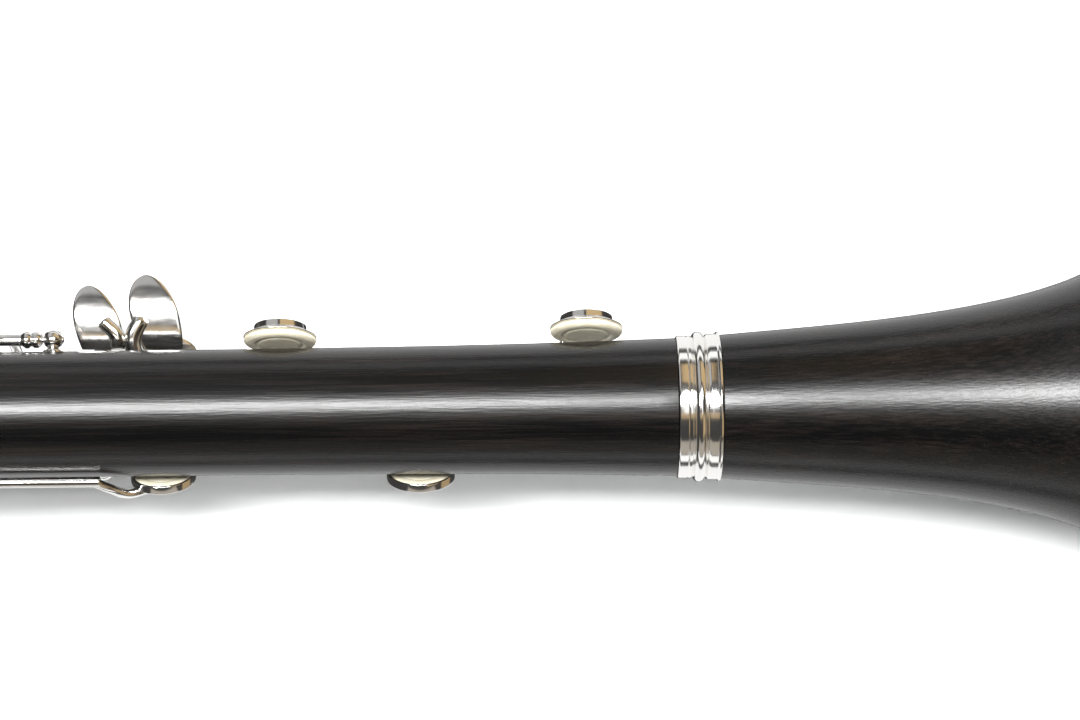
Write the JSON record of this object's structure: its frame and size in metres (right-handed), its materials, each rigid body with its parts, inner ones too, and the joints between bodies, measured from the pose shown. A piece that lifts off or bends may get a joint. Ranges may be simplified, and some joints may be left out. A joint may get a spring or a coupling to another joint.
{
  "type": "clarinet",
  "caption": "Straight wooden woodwind with a flared bell, silver finger rings, sprung padded keys and a single-reed mouthpiece, standing on its bell.",
  "frame": {"origin": "centre of the bell's rim, on the plane it stands on", "axes": "+Z along the bore towards the mouthpiece, -Y towards the finger holes, -X towards the player's right"},
  "size_m": [0.079, 0.079, 0.668],
  "materials": {
    "grenadilla": "satin near-black hardwood",
    "silver_plate": "mirror-polished silver plate",
    "steel": "turned steel",
    "pad_leather": "cream kid leather",
    "cork": "matt cork",
    "ebonite": "polished hard rubber",
    "cane": "bare cane"
  },
  "bodies": {
    "body": {"bell": "grenadilla", "bell_rim_ring": "silver_plate", "bell_socket_ring": "silver_plate", "c_sharp_rod": "steel", "left_e_lever_rod": "steel", "left_side_rod": "steel", "low_e_rod": "steel", "low_f_lever_rod": "steel", "low_f_rod": "steel", "low_f_sharp_rod": "steel", "lower_joint": "grenadilla", "lower_ring_rod": "steel", "lower_side_rod": "steel", "lower_socket_ring": "silver_plate", "lower_tenon_cork": "cork", "register_rod": "steel", "throat_a_rod": "steel", "throat_g_sharp_rod": "steel", "thumb_rest": "silver_plate", "thumb_ring_rod": "steel", "trill_key_1_rod": "steel", "trill_key_2_rod": "steel", "trill_key_3_rod": "steel", "trill_key_4_rod": "steel", "upper_joint": "grenadilla", "upper_ring_rod": "steel"},
    "low_e_key": {"low_e_key": "silver_plate", "low_e_pad": "pad_leather"},
    "low_f_lever": {"low_f_lever": "silver_plate"},
    "low_f_key": {"low_f_key": "silver_plate", "low_f_pad": "pad_leather"},
    "low_f_sharp_key": {"low_f_sharp_key": "silver_plate", "low_f_sharp_pad": "pad_leather"},
    "left_side_key": {"left_side_key": "silver_plate", "left_side_pad": "pad_leather"},
    "left_e_lever": {"left_e_lever": "silver_plate"},
    "lower_ring_key": {"lower_ring_key": "silver_plate"},
    "lower_side_key": {"lower_side_key": "silver_plate"},
    "upper_ring_key": {"upper_ring_key": "silver_plate"},
    "first_ring_key": {"first_ring_key": "silver_plate"},
    "thumb_ring_key": {"thumb_ring_key": "silver_plate"},
    "register_key": {"register_key": "silver_plate"},
    "throat_a_key": {"throat_a_key": "silver_plate"},
    "throat_g_sharp_key": {"throat_g_sharp_key": "silver_plate"},
    "c_sharp_key": {"c_sharp_key": "silver_plate"},
    "trill_key_1": {"trill_key_1": "silver_plate"},
    "trill_key_2": {"trill_key_2": "silver_plate"},
    "trill_key_3": {"trill_key_3": "silver_plate"},
    "trill_key_4": {"trill_key_4": "silver_plate"},
    "barrel": {"barrel": "grenadilla", "barrel_lower_ring": "silver_plate", "barrel_upper_ring": "silver_plate"},
    "mouthpiece": {"mouthpiece": "ebonite", "reed": "cane", "ligature": "silver_plate"},
    "ligature_screw_1": {"ligature_screw_1": "silver_plate"},
    "ligature_screw_2": {"ligature_screw_2": "silver_plate"},
    "thumb_rest_screw": {"thumb_rest_screw": "steel"}
  },
  "joints": [
    {"name": "low_e_turn", "type": "hinge", "parent": "body", "child": "low_e_key", "pos_m": [-0.01096, -0.01403, 0.184], "axis": [0, 0, 1], "range_deg": [-5, 0], "stiffness_Nm_per_rad": 0.05},
    {"name": "low_f_lever_turn", "type": "hinge", "parent": "body", "child": "low_f_lever", "pos_m": [-0.00431, -0.01727, 0.243], "axis": [0, 0, 1], "range_deg": [-5, 0], "stiffness_Nm_per_rad": 0.02},
    {"name": "low_f_turn", "type": "hinge", "parent": "body", "child": "low_f_key", "pos_m": [0.0078, -0.016, 0.207], "axis": [0, 0, 1], "range_deg": [0, 3.75], "stiffness_Nm_per_rad": 0.05},
    {"name": "low_f_sharp_turn", "type": "hinge", "parent": "body", "child": "low_f_sharp_key", "pos_m": [-0.0037, -0.01741, 0.207], "axis": [0, 0, 1], "range_deg": [-4, 0], "stiffness_Nm_per_rad": 0.05},
    {"name": "left_side_turn", "type": "hinge", "parent": "body", "child": "left_side_key", "pos_m": [0.01541, 0.0089, 0.3], "axis": [0, 0, 1], "range_deg": [-2, 0], "stiffness_Nm_per_rad": 0.05},
    {"name": "left_e_lever_turn", "type": "hinge", "parent": "body", "child": "left_e_lever", "pos_m": [0.01364, -0.01144, 0.284], "axis": [0, 0, 1], "range_deg": [0, 5], "stiffness_Nm_per_rad": 0.02},
    {"name": "lower_ring_turn", "type": "hinge", "parent": "body", "child": "lower_ring_key", "pos_m": [-0.01741, -0.0037, 0.29], "axis": [0, 0, 1], "range_deg": [0, 2.5], "stiffness_Nm_per_rad": 0.04},
    {"name": "lower_side_turn", "type": "hinge", "parent": "body", "child": "lower_side_key", "pos_m": [-0.01763, 0.00248, 0.276], "axis": [0, 0, 1], "range_deg": [-4, 0], "stiffness_Nm_per_rad": 0.02},
    {"name": "upper_ring_turn", "type": "hinge", "parent": "body", "child": "upper_ring_key", "pos_m": [-0.01541, -0.0089, 0.385], "axis": [0, 0, 1], "range_deg": [0, 2.5], "stiffness_Nm_per_rad": 0.04},
    {"name": "first_ring_turn", "type": "hinge", "parent": "body", "child": "first_ring_key", "pos_m": [-0.01541, -0.0089, 0.431], "axis": [0, 0, 1], "range_deg": [0, 1.5], "stiffness_Nm_per_rad": 0.03},
    {"name": "thumb_ring_turn", "type": "hinge", "parent": "body", "child": "thumb_ring_key", "pos_m": [0.01403, 0.01096, 0.439], "axis": [0, 0, 1], "range_deg": [0, 1.5], "stiffness_Nm_per_rad": 0.03},
    {"name": "register_turn", "type": "hinge", "parent": "body", "child": "register_key", "pos_m": [0, 0.0178, 0.466], "axis": [1, 0, 0], "range_deg": [-6, 0], "stiffness_Nm_per_rad": 0.03},
    {"name": "throat_a_turn", "type": "hinge", "parent": "body", "child": "throat_a_key", "pos_m": [0, -0.0178, 0.454], "axis": [1, 0, 0], "range_deg": [0, 6], "stiffness_Nm_per_rad": 0.03},
    {"name": "throat_g_sharp_turn", "type": "hinge", "parent": "body", "child": "throat_g_sharp_key", "pos_m": [0.01191, -0.01323, 0.45], "axis": [0, 0, 1], "range_deg": [-4, 0], "stiffness_Nm_per_rad": 0.02},
    {"name": "c_sharp_turn", "type": "hinge", "parent": "body", "child": "c_sharp_key", "pos_m": [0.01364, -0.01144, 0.382], "axis": [0, 0, 1], "range_deg": [0, 5], "stiffness_Nm_per_rad": 0.03},
    {"name": "trill_1_turn", "type": "hinge", "parent": "body", "child": "trill_key_1", "pos_m": [-0.01731, -0.00182, 0.41], "axis": [0, 0, 1], "range_deg": [-5, 0], "stiffness_Nm_per_rad": 0.03},
    {"name": "trill_2_turn", "type": "hinge", "parent": "body", "child": "trill_key_2", "pos_m": [-0.01708, 0.00332, 0.4225], "axis": [0, 0, 1], "range_deg": [-5, 0], "stiffness_Nm_per_rad": 0.03},
    {"name": "trill_3_turn", "type": "hinge", "parent": "body", "child": "trill_key_3", "pos_m": [-0.01536, 0.00817, 0.435], "axis": [0, 0, 1], "range_deg": [-5, 0], "stiffness_Nm_per_rad": 0.03},
    {"name": "trill_4_turn", "type": "hinge", "parent": "body", "child": "trill_key_4", "pos_m": [-0.0123, 0.0123, 0.4475], "axis": [0, 0, 1], "range_deg": [-5, 0], "stiffness_Nm_per_rad": 0.03},
    {"name": "barrel_slide", "type": "slide", "parent": "body", "child": "barrel", "axis": [0, 0, 1], "range_m": [0, 0.002]},
    {"name": "mouthpiece_slide", "type": "slide", "parent": "barrel", "child": "mouthpiece", "axis": [0, 0, 1], "range_m": [0, 0.002]},
    {"name": "ligature_screw_1_turn", "type": "hinge", "parent": "mouthpiece", "child": "ligature_screw_1", "pos_m": [0, 0.0153, 0.613], "axis": [1, 0, 0], "continuous": true},
    {"name": "ligature_screw_2_turn", "type": "hinge", "parent": "mouthpiece", "child": "ligature_screw_2", "pos_m": [0, 0.0153, 0.625], "axis": [1, 0, 0], "continuous": true},
    {"name": "thumb_rest_screw_turn", "type": "hinge", "parent": "body", "child": "thumb_rest_screw", "pos_m": [0, 0.0169, 0.304], "axis": [0, 1, 0], "continuous": true}
  ],
  "couplings": [
    {"joint": "left_e_lever_turn", "follows": "low_e_turn", "ratio": -1},
    {"joint": "low_f_turn", "follows": "low_f_lever_turn", "ratio": -0.75},
    {"joint": "upper_ring_turn", "follows": "lower_ring_turn", "ratio": 1}
  ]
}
